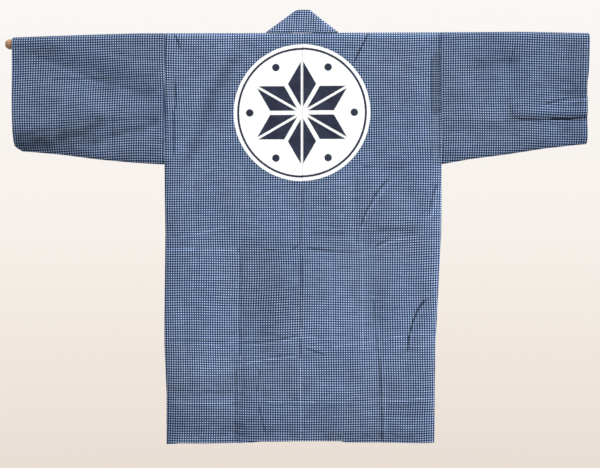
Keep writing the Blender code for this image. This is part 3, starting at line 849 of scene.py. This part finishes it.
# Sum of the tones of all the lines at a place: painted shade below 0, painted highlight above 0. A ramp's red
# is a line's place, its green the tone and its blue the width.
def lineTones(place, lines):
    total = 0.0
    if not lines:
        return total
    corner, size, span = lineField["corner"], lineField["size"], lineField["toneSpan"]
    spot = place + shake(place, *checkLook["waver"]) - (*corner, 0.0)
    parts = parted(spot * (1.0 / size[0], 1.0 / size[1], 0.0))
    for axis, stops in packedLines(lines):
        ramp = addNode(place.socket.id_data, "ShaderNodeValToRGB", {0: parts[axis]})
        elements = ramp.color_ramp.elements
        for _ in stops[2:]:
            elements.new(0.5)
        for element, (at, across, tone, width) in zip(elements, stops):
            element.position, element.color = at, (across, tone / span + 0.5, width, 1.0)
        found = parted(Wire(ramp.outputs[0]), "ShaderNodeSeparateColor")
        near = step(abs(parts[1 - axis] - found[0]), 0.0, found[2], 1.0, 0.0)
        total = maths("MULTIPLY_ADD", near, maths("MULTIPLY_ADD", found[1], span, -0.5 * span), total)
    return total


# Share of the pressed band beside a sleeve seam, and of the thin line of painted shadow at its edge.
def seamBand(place):
    look = bandLook
    across, tall, _ = parted(place)
    onLeft = maths("LESS_THAN", across, 0.0)
    shift = onLeft * (look["right"] - look["left"])
    far = abs(across) + shift
    down = abs(tall)
    leftRows, rightRows = (
        step(down, top, top + look["rise"]) * step(down, low - look["fall"], low, 1.0, 0.0)
        for top, low in (look["leftRows"], look["rightRows"])
    )
    rows = onLeft * (leftRows - rightRows) + rightRows
    inside = step(far, look["right"] - look["soft"], look["right"] + look["soft"]) * rows
    return inside, step(abs(far - look["right"]), 0.0, look["edgeShadowWidth"], 1.0, 0.0) * rows


# Woven check: pale warp and weft bars in indigo, brightest where they cross.
def checkCloth(name, tone, lines=(), seed=0.0, body=False):
    material, tree, shader = newMaterial(name)
    look = checkLook
    place = source(tree, "ShaderNodeUVMap", uv_map="cloth")
    shifted = place + (seed, 0.37 * seed, 0.0)
    spot = shifted + shake(shifted, *look["drift"])
    spot = spot + shake(shifted, *look["sway"])
    cells = spot * ((1.0 / look["pitch"],) * 3)
    half, soft = 0.5 * look["bar"], 0.5 * look["soft"]
    warp, weft = (
        step(abs(maths("FRACT", part) - 0.5), half - soft, half + soft, 1.0, 0.0)
        for part in parted(cells)[:2]
    )
    level = tone
    if body:
        inside, bandEdgeShadow = seamBand(place)
        inside = inside * bandLook["merge"]
        warp = warp * (1.0 - inside) + inside * 0.5
        # A thin line of painted shadow along the band's edge.
        dim = 1.0 - bandEdgeShadow * bandLook["edge"]
        level = dim * (tone * step(inside, 0.0, 1.0, 1.0, bandLook["dim"]))
    cell = wired("ShaderNodeTexWhiteNoise", {"Vector": maths("FLOOR", cells)}, noise_dimensions="2D")
    lit = step(cell, 0.0, 1.0, *look["lit"])
    bar = mix(warp, mix(weft, look["ground"], look["weft"]), look["warp"])
    color = mix(maths("MULTIPLY", warp * weft, lit, clamp=True), bar, look["dot"])
    # uneven fading of the dye over a hand's breadth, warmer in places, and the painted light and shade: the
    # lines along the creases, the mesh's painted shading, the fine wrinkles and the darker left side
    worn = noise(shifted, *look["worn"], Roughness=0.6)
    warm = noise(shifted, *look["warm"])
    fade = step(worn, 0.25, 0.75, 1.0 - 0.5 * look["fade"], 1.0 + 0.5 * look["fade"])
    # Painted light and shade held in the mesh.
    rub = source(tree, "ShaderNodeAttribute", "Fac", attribute_name="rub")
    tones = lineTones(place, lines) + rub
    # Painted shade and highlight of fine wrinkles, whose heights also go into the bump.
    wrinkle = noise(place * look["wrinkles"], 1.0, 2.0, Distortion=0.5)
    tones = tones + step(wrinkle, 0.25, 0.75, -look["wrinkleShading"], look["wrinkleShading"])
    # Painted shade towards the left, away from the lamp.
    side = step(parted(place)[0], -0.65, 0.65, *look["ends"])
    level = level * (fade * side)
    level = level * maths("MAXIMUM", tones + 1.0, 0.05)
    cool = (1.0 - 0.4 * look["tint"], 1.0, 1.0 + 0.3 * look["tint"], 1.0)
    tint = mix(step(warm, 0.35, 0.68), cool, (1.0 + look["tint"], 1.0, 1.0 - look["tint"], 1.0))
    color = mix(1.0, mix(1.0, color, tint, "MULTIPLY"), filled(level), "MULTIPLY")
    if body:
        # The crest takes the same painted light and shade, weaker.
        color = crestColors(place, color, filled(tones * 0.30 + 1.0))
    # threads of the plain weave, a little uneven, and the slight crumple of washed cotton
    fine = parted(spot * ((2.0 * math.pi / look["thread"],) * 3))
    weave = maths("SINE", fine[0]) * maths("SINE", fine[1])
    slub = noise(shifted, *look["slub"])
    crumple = noise(shifted, *look["crumple"], Distortion=0.6)
    height = weave * look["weaveHeight"] + slub * look["slubHeight"] + crumple * look["crumpleHeight"]
    height = height + wrinkle * look["wrinkleHeight"] + warp * weft * look["dotHeight"]
    finishShader(shader, look, color, height)
    shader.inputs["Specular IOR Level"].default_value = look["specular"]
    return material


# The same check in three tones: the collar lighter, a painted highlight, and the sleeves darker.
bodyCloth = checkCloth("indigoBody", 1.02, bodyLines, body=True)
sleeveCloth = checkCloth("indigoSleeve", 0.865, sleeveLines, seed=0.31)
collarCloth = checkCloth("indigoCollar", 1.34, seed=0.77)

woodLook = {
    "pale": (0.50, 0.29, 0.15, 1.0),
    "dark": (0.20, 0.095, 0.045, 1.0),
    "stretch": (6.0, 120.0, 120.0),
    "grain": (3.0, 6.0),
    "pores": (14.0, 2.0),
    "roughness": 0.55,
    "bump": 0.6,
    "height": 0.0004,
}


def rodWood():
    material, tree, shader = newMaterial("rodWood")
    place = source(tree, "ShaderNodeTexCoord", "Object")
    long = wired("ShaderNodeMapping", {"Vector": place, "Scale": woodLook["stretch"]})
    grain = noise(long, *woodLook["grain"], dimensions="3D", Distortion=0.8)
    pores = noise(long, *woodLook["pores"], dimensions="3D")
    amount = grain * 0.8 + pores * 0.3
    color = mix(step(amount, 0.30, 0.80), woodLook["dark"], woodLook["pale"])
    finishShader(shader, woodLook, color, amount * woodLook["height"])
    return material


threadLook = {
    "dark": (0.105, 0.140, 0.220, 1.0),
    "pale": (0.24, 0.29, 0.40, 1.0),
    "twist": (1400.0, 1.0),
    "roughness": 0.7,
}


def threadMaterial():
    material, tree, shader = newMaterial("indigoThread")
    twist = noise(source(tree, "ShaderNodeTexCoord", "Object"), *threadLook["twist"], dimensions="3D")
    finishShader(shader, threadLook, mix(twist, threadLook["dark"], threadLook["pale"]))
    return material


thread = threadMaterial()
print("materials made")

# Sizes of a body half. Near a seam the cloth turns in: at these distances from it, this deep.
bodySizes = {
    "panel": 0.30,
    "centerGap": 0.00006,
    "centerAway": (0.0040, 0.0016, 0.00070, 0.00056),
    "centerDeep": (0.0, 0.00004, 0.00024, 0.0020),
    "sleeveAway": (0.0, 0.0004, 0.0012, 0.0030),
    "sleeveDeep": (0.0015, 0.00050, 0.00010, 0.0),
    "sleeveTuck": 0.0004,
    # the right back's seam allowance runs on behind the left back, below the top
    "allowance": (-0.0016, -0.0060, -0.0110),
    "allowanceDeep": 0.0037,
    "allowanceTop": -0.017,
    "neckStep": 6,  # step over the rod at which the neck's slit begins
}


# Columns of one layer, from the sleeve or side seam inwards, and how deep each lies.
def bodyColumns(sign, layer, level, edge, openEdge):
    size = bodySizes
    closing = closingSteps(cut["sideClosing"])
    outer = edge - closing
    outer[0] -= size["sleeveTuck"] * openEdge
    sunk = np.interp(closing, size["sleeveAway"], size["sleeveDeep"]) * openEdge
    last = collarSeam(level) + 0.5 * cut["seamGap"]
    panel = int(round((size["panel"] - cut["sideClosing"] - cut["neckHalf"]) / cut["grid"]))
    flat = np.linspace(outer[-1], last, panel + 1)[1:]
    away = np.array(size["centerAway"])
    if layer == back:
        seam, last = last, 0.5 * size["centerGap"]
        neck = np.linspace(seam, last + away[0], int(round(cut["neckHalf"] / cut["grid"])))
        flat = np.concatenate([flat, neck[1:]])
    else:
        flat[-1] += away[0]
    place = np.concatenate([outer, flat, last + away[1:]])
    sunk = np.concatenate([sunk, 0.0 * flat, size["centerDeep"][1:]])
    if layer == back and sign == right and level < size["allowanceTop"]:
        place = np.concatenate([place, size["allowance"]])
        sunk = np.concatenate([sunk, np.full(len(size["allowance"]), size["allowanceDeep"])])
    return place, sunk


# From the back hem over the rod to the front hem.
def bodyHalf(name, sign):
    cloth = Cloth()
    arms = armLevels()
    skirtDepth = cut["hemDepth"] + cut["underarm"]
    skirtCount = int(round(skirtDepth / cut["grid"]))
    down = np.concatenate([arms, np.ones(skirtCount)])
    skirt = np.concatenate([np.zeros(len(arms)), np.arange(1, skirtCount + 1) / skirtCount])
    levels = cut["underarm"] * down - skirt * skirtDepth
    openEdges = closingShare(levels - cut["underarm"], cut["underClosing"])
    edges = sided(sides, sign, levels) - 0.5 * cut["solidWall"] * (1.0 - openEdges)
    rows, tops = {back: [], front: []}, {}
    for layer in (back, front):
        for row, (level, edge, openEdge) in enumerate(zip(levels, edges, openEdges)):
            place, sunk = bodyColumns(sign, layer, level, edge, openEdge)
            x = sign * place
            low = hemHeight(x)
            z = (1.0 - down[row]) * rodHeight(x) + cut["underarm"] * down[row]
            z = z + skirt[row] * (low - cut["underarm"])
            near = 1.0 - closingShare(edge - place, cut["sideClosing"]) ** 2
            opening = np.sqrt(np.clip(1.0 - near * (1.0 - openEdge**2), 0.0, 1.0))
            points = layerPoints(x, z, layer, opening)
            raised, hemShadeLine = hemShares(z - low, cut["hemTurn"])
            points[:, 1] += layer * (cut["hemRaise"] * raised * opening - sunk)
            # Painted shade along the hem's turn and in the seams, the painted shading of this layer's folds
            # and creases, and painted light where the side closes.
            rub = edgeShading["hem"] * hemShadeLine + edgeShading["seam"] * (sunk > edgeShading["seamDepth"])
            rub += shadeTones(bodyShades[layer], x, z)
            rub += edgeShading["side"] * bell(edge - place, edgeShading["sideWidth"]) * (1.0 - openEdge)
            rows[layer].append(cloth.row(points, layerMap(x, z, layer), rub))
            if row == 0:
                tops[layer] = (x, sunk)
            if layer == front and openEdge == 0.0:
                cloth.welds[rows[front][-1][0]] = rows[back][row][0]
    arcs = []
    for number in range(1, cut["arcSteps"]):
        x, sunk = tops[back if number <= bodySizes["neckStep"] else front]
        # Painted light on top over the rod, and painted shade in the seams.
        rub = edgeShading["shoulder"] + edgeShading["seam"] * (sunk > edgeShading["seamDepth"])
        arcs.append(cloth.row(*arcPoints(x, math.pi * number / cut["arcSteps"], sunk), rub))
    backArcs, frontArcs = arcs[: bodySizes["neckStep"]], [*arcs[bodySizes["neckStep"] :], rows[front][0]]
    shoulder = len(rows[front][0]) - 3
    cloth.strips(rows[back][::-1] + backArcs)
    cloth.strips([backArcs[-1][:shoulder]] + [row[:shoulder] for row in frontArcs])
    cloth.strips([row[shoulder - 1 :] for row in frontArcs])
    cloth.strips(rows[front])
    return cloth.piece(name, cut["wall"], bodyCloth, turned=sign == right)


bodyLeft = bodyHalf("bodyLeft", left)
bodyRight = bodyHalf("bodyRight", right)
print("body halves made")

sleeveSizes = {"length": 0.333, "clearance": 0.8, "seamDepth": 0.0005}


# A tube over the rod, closed along its lower edge.
def sleeve(name, sign):
    cloth = Cloth()
    levels = armLevels()
    length = sleeveSizes["length"]
    away = np.array(bodySizes["sleeveAway"])
    flat = np.arange(away[-1], length - 0.5 * cut["grid"], cut["grid"])[1:]
    shares = np.concatenate([away, flat, [length]]) / length
    opening = closingShare(-cut["underarm"] * (1.0 - levels), cut["underClosing"])
    inner = sided(sides, sign, cut["underarm"] * levels) + cut["seamGap"]
    inner = inner + sleeveSizes["clearance"] * cut["solidWall"] * (1.0 - opening)
    outer = sided(cuffs, sign, levels)
    turns = math.pi * np.arange(1, cut["arcSteps"]) / cut["arcSteps"]
    # Painted light along the sleeve's lower edge, where the cloth curves away.
    underarm = edgeShading["underarm"] * bell(cut["underarm"] * (1.0 - levels), edgeShading["underarmWidth"])
    rings = []
    for share in shares:
        sunk = np.interp(share * length, away, bodySizes["sleeveDeep"])
        # Painted shade in the seam.
        rub = edgeShading["seam"] * float(sunk > sleeveSizes["seamDepth"])
        place = inner + share * (outer - inner)
        x = sign * place
        z = rodHeight(x) + levels * (sided(underSeams, sign, place) - rodHeight(x))
        raised, hemShadeLine = hemShares(outer - place, cut["cuffHem"])
        parts = {}
        for layer in (back, front):
            points = layerPoints(x, z, layer, opening)
            points[:, 1] += layer * (cut["hemRaise"] * raised - sunk) * opening
            # Painted shade along the cuff's turn, and the painted shading of the sleeve's folds and creases.
            rubs = rub + edgeShading["cuffHem"] * hemShadeLine + shadeTones(sleeveShades[layer], x, z) + underarm
            parts[layer] = cloth.row(points, layerMap(x, z, layer), rubs)
        cloth.welds[parts[front][-1]] = parts[back][-1]
        arc = cloth.row(*arcPoints(np.full(len(turns), x[0]), turns, sunk), rub)
        rings.append(np.concatenate([parts[back][::-1], arc, parts[front]]))
    cloth.strips(rings)
    return cloth.piece(name, cut["wall"], sleeveCloth, turned=sign == right)


sleeveLeft = sleeve("sleeveLeft", left)
sleeveRight = sleeve("sleeveRight", right)
print("sleeves made")

# The collar band, and how its standing part leans to the right above where it leaves the coat.
band = {
    "wall": 0.0028,
    "width": 0.055,
    "top": -0.0470,
    "columns": 13,
    "between": 5,
    "lean": 0.0036,
    "leanFoot": 0.0140,
    "leanHeight": 0.0500,
    "leanFront": -0.0030,
    "leanFade": 0.0030,
    "neckReach": 0.16,
}
# Round the neck, from the centre of the back: a point of the sewn edge and one of the free edge.
neckStations = millimetres(
    (0, -5.2, 12.6, 0, -8.5, 62),
    (28, -5.2, 12.6, 6, -8.4, 62),
    (54, -5.2, 12.7, 11, -7.8, 61.6),
    (71, -4.6, 13.1, 13.8, -6, 60.8),
    (77.8, -1.6, 13.8, 15, -2.2, 59.8),
    (78.8, 3.8, 13.8, 15.4, 2.4, 57.4),
    (79.2, 9.4, 10.8, 16.2, 6, 53),
    (79.4, 12.9, 5, 18, 9.5, 41),
    (79.5, 13.1, -4, 20.6, 12, 24),
    (79.5, 12.9, -15, 23.2, 12.8, 5),
    (79.6, 12.8, -28, 24.4, 13, -18),
)


# A smooth curve through points, with some points between each two.
def throughPoints(points, between):
    points = np.array(points, float)
    ends = np.concatenate([[2 * points[0] - points[1]], points, [2 * points[-1] - points[-2]]])
    found = []
    for i in range(1, len(ends) - 2):
        p0, p1, p2, p3 = ends[i - 1 : i + 3]
        for t in np.arange(between) / between:
            bent = (p2 - p0) * t + (2 * p0 - 5 * p1 + 4 * p2 - p3) * t**2 + (3 * p1 - p0 - 3 * p2 + p3) * t**3
            found.append(0.5 * (2 * p1 + bent))
    return np.array(found + [points[-1]])


def collarGrid(sign):
    bottom = float(hemHeight(sign * cut["neckHalf"]))
    z = np.linspace(band["top"], bottom, int(round((band["top"] - bottom) / cut["grid"])) + 1)[:, None]
    share = np.linspace(0.0, 1.0, band["columns"] + 1)
    x = sign * (collarSeam(z) - 0.5 * cut["seamGap"]) - sign * band["width"] * share
    hung = layerPoints(x, z + 0.0 * share, front, 1.0)
    edges = []
    for column, stations in ((0, neckStations[:, :3]), (-1, neckStations[:, 3:])):
        end = hung[0, column] - (0.0, 0.0, cut["rodSlope"] * hung[0, column, 0])
        edges.append(throughPoints([*(stations * (sign, 1, 1)), end], band["between"])[:, None, :])
    seamLine, freeLine = edges
    neck = seamLine + (freeLine - seamLine) * share[None, :, None]
    rise = np.clip((neck[..., 2] - band["leanFoot"]) / band["leanHeight"], 0.0, 1.0)
    behind = np.clip((band["leanFront"] - neck[..., 1]) / band["leanFade"], 0.0, 1.0)
    neck[..., 0] += band["lean"] * rise * np.where(neck[..., 0] < 0.0, behind, 1.0)
    neck[..., 2] += cut["rodSlope"] * neck[..., 0]
    return np.concatenate([neck[:-1], hung])


def collarBand():
    leftHalf, rightHalf = collarGrid(left), collarGrid(right)
    grid = np.concatenate([leftHalf[:0:-1], rightHalf])
    # each thread keeps its own length round the neck, and the threads run level again down the fronts
    steps = np.linalg.norm(np.diff(grid, axis=0), axis=2)
    along = np.concatenate([np.zeros((1, grid.shape[1])), np.cumsum(steps, axis=0)])
    along -= along[len(leftHalf) - 1]
    middle = along.mean(axis=1, keepdims=True)
    along = middle + (along - middle) * np.clip(1.6 - np.abs(middle) / band["neckReach"], 0.0, 1.0)
    place = band["width"] * np.linspace(0.0, 1.0, grid.shape[1])
    # Painted shade along the edge sewn to the coat.
    rubs = edgeShading["collarEdge"] * bell(place, edgeShading["collarEdgeWidth"])
    cloth = Cloth()
    cloth.strips([cloth.row(line, np.stack([place, run], axis=1), rubs) for line, run in zip(grid, along)])
    return cloth.piece("collarBand", band["wall"], collarCloth), grid


collar, collarPoints = collarBand()
print("collar made")

wood = rodWood()
for node in ("rod_left", "rod_middle", "rod_right"):
    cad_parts[node].data.materials.clear()
    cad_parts[node].data.materials.append(wood)

# Running stitches along the hems, the cuffs and the collar.
stitches = {"Pitch": 0.0062, "Stitch Length": 0.0034, "Thread Radius": 0.00034, "Seed": 5, "Material": thread}
stitchLines = {
    "uneven": (0.78, 1.12),
    "hemUp": 0.003,
    "hemLevel": -0.87,
    "hemStarts": {back: 0.004, front: 0.093},
    "cuffIn": 0.002,
    "cuffSpan": (0.06, 0.85),
    "lift": 0.00008,
    "collarLift": 0.00006,
}


def stitchTree():
    tree = bpy.data.node_groups.new("runningStitch", "GeometryNodeTree")
    sockets = tree.interface
    sockets.new_socket("Geometry", in_out="INPUT", socket_type="NodeSocketGeometry")
    for label, kind in zip(stitches, ("Float", "Float", "Float", "Int", "Material")):
        sockets.new_socket(label, in_out="INPUT", socket_type="NodeSocket" + kind)
    sockets.new_socket("Geometry", in_out="OUTPUT", socket_type="NodeSocketGeometry")
    given = {socket.name: Wire(socket) for socket in tree.nodes.new("NodeGroupInput").outputs}
    curve = wired("GeometryNodeMeshToCurve", {"Mesh": given["Geometry"]})
    even = wired("GeometryNodeResampleCurve", {"Curve": curve, "Length": given["Pitch"]}, mode="LENGTH")
    tangent = source(tree, "GeometryNodeInputTangent")
    align = wired("FunctionNodeAlignRotationToVector", {"Vector": tangent}, axis="X")
    bead = source(tree, "GeometryNodeMeshUVSphere", 0, {"Segments": 6, "Rings": 5, "Radius": 1.0})
    radius = given["Thread Radius"]
    sizes = wired("ShaderNodeCombineXYZ", {"X": given["Stitch Length"] * 0.5, "Y": radius, "Z": radius})
    shape = wired("GeometryNodeTransform", {"Geometry": bead, "Scale": sizes})
    low, high = stitchLines["uneven"]
    uneven = wired("FunctionNodeRandomValue", {2: low, 3: high, "Seed": given["Seed"]}, 1, data_type="FLOAT")
    inputs = {"Points": even, "Instance": shape, "Rotation": align, "Scale": uneven}
    real = wired("GeometryNodeRealizeInstances", {0: wired("GeometryNodeInstanceOnPoints", inputs)})
    finish = wired("GeometryNodeSetMaterial", {"Geometry": real, "Material": given["Material"]})
    addNode(tree, "NodeGroupOutput", {0: finish})
    return tree


def stitchRows(name, lines, tree):
    points, edges = [], []
    for line in lines:
        edges += [(i, i + 1) for i in range(len(points), len(points) + len(line) - 1)]
        points += line.tolist()
    mesh = bpy.data.meshes.new(name + "Path")
    mesh.from_pydata(points, edges, [])
    path = placed(name + "Path", mesh)
    nodes = path.modifiers.new("stitches", "NODES")
    nodes.node_group = tree
    for item in tree.interface.items_tree:
        if item.in_out == "INPUT" and item.name in stitches:
            nodes[item.identifier] = stitches[item.name]
    return settle(path, name)


# A line on the outer face of a layer.
def faceLine(x, z, layer):
    points = layerPoints(x, z, layer, 1.0)
    points[:, 1] += layer * (0.5 * cut["wall"] + cut["hemRaise"] + stitchLines["lift"])
    return points


def hemLines():
    lines = []
    for sign in (left, right):
        side = float(sided(sides, sign, stitchLines["hemLevel"])) - cut["sideClosing"]
        for layer, start in stitchLines["hemStarts"].items():
            x = sign * np.linspace(start, side, 60)
            lines.append(faceLine(x, hemHeight(x) + cut["hemTurn"] - stitchLines["hemUp"], layer))
    return lines


def cuffLines():
    lines = []
    down = np.linspace(*stitchLines["cuffSpan"], 50)
    for sign in (left, right):
        place = sided(cuffs, sign, down) - cut["cuffHem"] + stitchLines["cuffIn"]
        x = sign * place
        z = rodHeight(x) + down * (sided(underSeams, sign, place) - rodHeight(x))
        lines += [faceLine(x, z, layer) for layer in (back, front)]
    return lines


def collarLines():
    lines = []
    last = band["columns"] - 1
    for column, low in ((1, 1), (last, last - 1)):
        line = collarPoints[:, column]
        normal = np.cross(collarPoints[:, low + 1] - collarPoints[:, low], np.gradient(line, axis=0))
        normal *= (0.5 * band["wall"] + stitchLines["collarLift"]) / np.linalg.norm(normal, axis=1)[:, None]
        lines += [line + normal, line - normal]
    return lines


runningStitch = stitchTree()
hemStitches = stitchRows("hemStitches", hemLines(), runningStitch)
cuffStitches = stitchRows("cuffStitches", cuffLines(), runningStitch)
collarStitches = stitchRows("collarStitches", collarLines(), runningStitch)
print("sewing made")

# Each piece, the nodes that it stands for and its cut.
for piece, slotName, *nodes in (
    (bodyLeft, "indigo_body", "back_left", "front_left"),
    (bodyRight, "indigo_body", "back_right", "front_right"),
    (sleeveLeft, "indigo_sleeve", "sleeve_left"),
    (sleeveRight, "indigo_sleeve", "sleeve_right"),
    (collar, "indigo_collar", "collar"),
):
    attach(piece, "root")
    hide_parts(*nodes)
for piece, slotName in (
    (hemStitches, "indigo_body"),
    (cuffStitches, "indigo_sleeve"),
    (collarStitches, "indigo_collar"),
):
    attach(piece, "root")

studio = {
    "sky": ((0.0, (0.800, 0.715, 0.645)), (0.5, (0.925, 0.872, 0.822)), (1.0, (0.960, 0.940, 0.925))),
    "skySpan": 0.21,  # how far up and down the sky's colours reach
    "ambient": 0.52,
    "ambientColor": (0.93, 0.96, 1.0, 1.0),
    "rear": 0.75,  # extra light of the bright side of the room, behind the coat
    "rearFrom": (-0.45, 0.80, 0.40),
    "rearEdge": 0.10,
    "key": 4.5,
    "keyFrom": (0.45, -0.50, 0.55),
    "keySpread": 10.0,  # degrees
    "keyColor": (0.970, 0.976, 0.978),
    "floorHeight": -1.50,
    "floorRadius": 2.1,
    "floorSides": 96,
    "floorColor": (0.45, 0.43, 0.41, 1.0),
    "floorRoughness": 0.9,
    "lens": 70.0,
    "sensor": 36.0,
    "distance": 2.567,
    "aim": (-0.0044, 0.0, -0.4295),
}


def makeWorld():
    world = bpy.data.worlds.new("paleRoom")
    bpy.context.scene.world = world
    world.use_nodes = True
    tree = world.node_tree
    tree.nodes.clear()
    direction = source(tree, "ShaderNodeTexCoord", "Generated")
    span = studio["skySpan"]
    share = wired("ShaderNodeMapRange", {"Value": parted(direction)[2], "From Min": -span, "From Max": span})
    ramp = addNode(tree, "ShaderNodeValToRGB", {0: share})
    stops = ramp.color_ramp.elements
    stops.new(0.5)
    for stop, (at, color) in zip(stops, studio["sky"]):
        stop.position, stop.color = at, (*color, 1.0)
    seen = wired("ShaderNodeBackground", {"Color": Wire(ramp.outputs[0]), "Strength": 1.0})
    facing = maths("DOT_PRODUCT", direction, tuple(Vector(studio["rearFrom"]).normalized()))
    strength = step(facing, studio["rearEdge"], 1.0, studio["ambient"], studio["ambient"] + studio["rear"])
    light = wired("ShaderNodeBackground", {"Color": studio["ambientColor"], "Strength": strength})
    camera = source(tree, "ShaderNodeLightPath", "Is Camera Ray")
    both = wired("ShaderNodeMixShader", {0: camera, 1: light, 2: seen})
    addNode(tree, "ShaderNodeOutputWorld", {"Surface": both})
    world.cycles.sampling_method = "NONE"  # the sky is smooth, so the lamp takes all the light samples


def makeFloor():
    mesh = bpy.data.meshes.new("floor")
    radius, count = studio["floorRadius"], studio["floorSides"]
    turns = np.linspace(0.0, 2.0 * math.pi, count + 1)[:-1]
    points = [(radius * math.cos(t), radius * math.sin(t), studio["floorHeight"]) for t in turns]
    mesh.from_pydata(points, [], [list(range(count))])
    material, tree, shader = newMaterial("paleFloor")
    shader.inputs["Base Color"].default_value = studio["floorColor"]
    shader.inputs["Roughness"].default_value = studio["floorRoughness"]
    mesh.materials.append(material)
    placed("floor", mesh)


def makeLamp():
    data = bpy.data.lights.new("keyLight", "SUN")
    data.energy, data.angle, data.color = studio["key"], math.radians(studio["keySpread"]), studio["keyColor"]
    placed("keyLight", data).rotation_euler = Vector(studio["keyFrom"]).to_track_quat("Z", "Y").to_euler()


def makeCamera():
    data = bpy.data.cameras.new("camera")
    data.lens, data.sensor_width, data.clip_end = studio["lens"], studio["sensor"], 50.0
    camera = placed("camera", data)
    x, y, z = studio["aim"]
    camera.location = (x, y - studio["distance"], z)
    camera.rotation_euler = (math.radians(90.0), 0.0, 0.0)
    bpy.context.scene.camera = camera


makeWorld()
makeFloor()
makeLamp()
makeCamera()
bpy.context.scene.view_settings.view_transform = "Standard"
bpy.context.scene.view_settings.look = "None"
print("studio made")
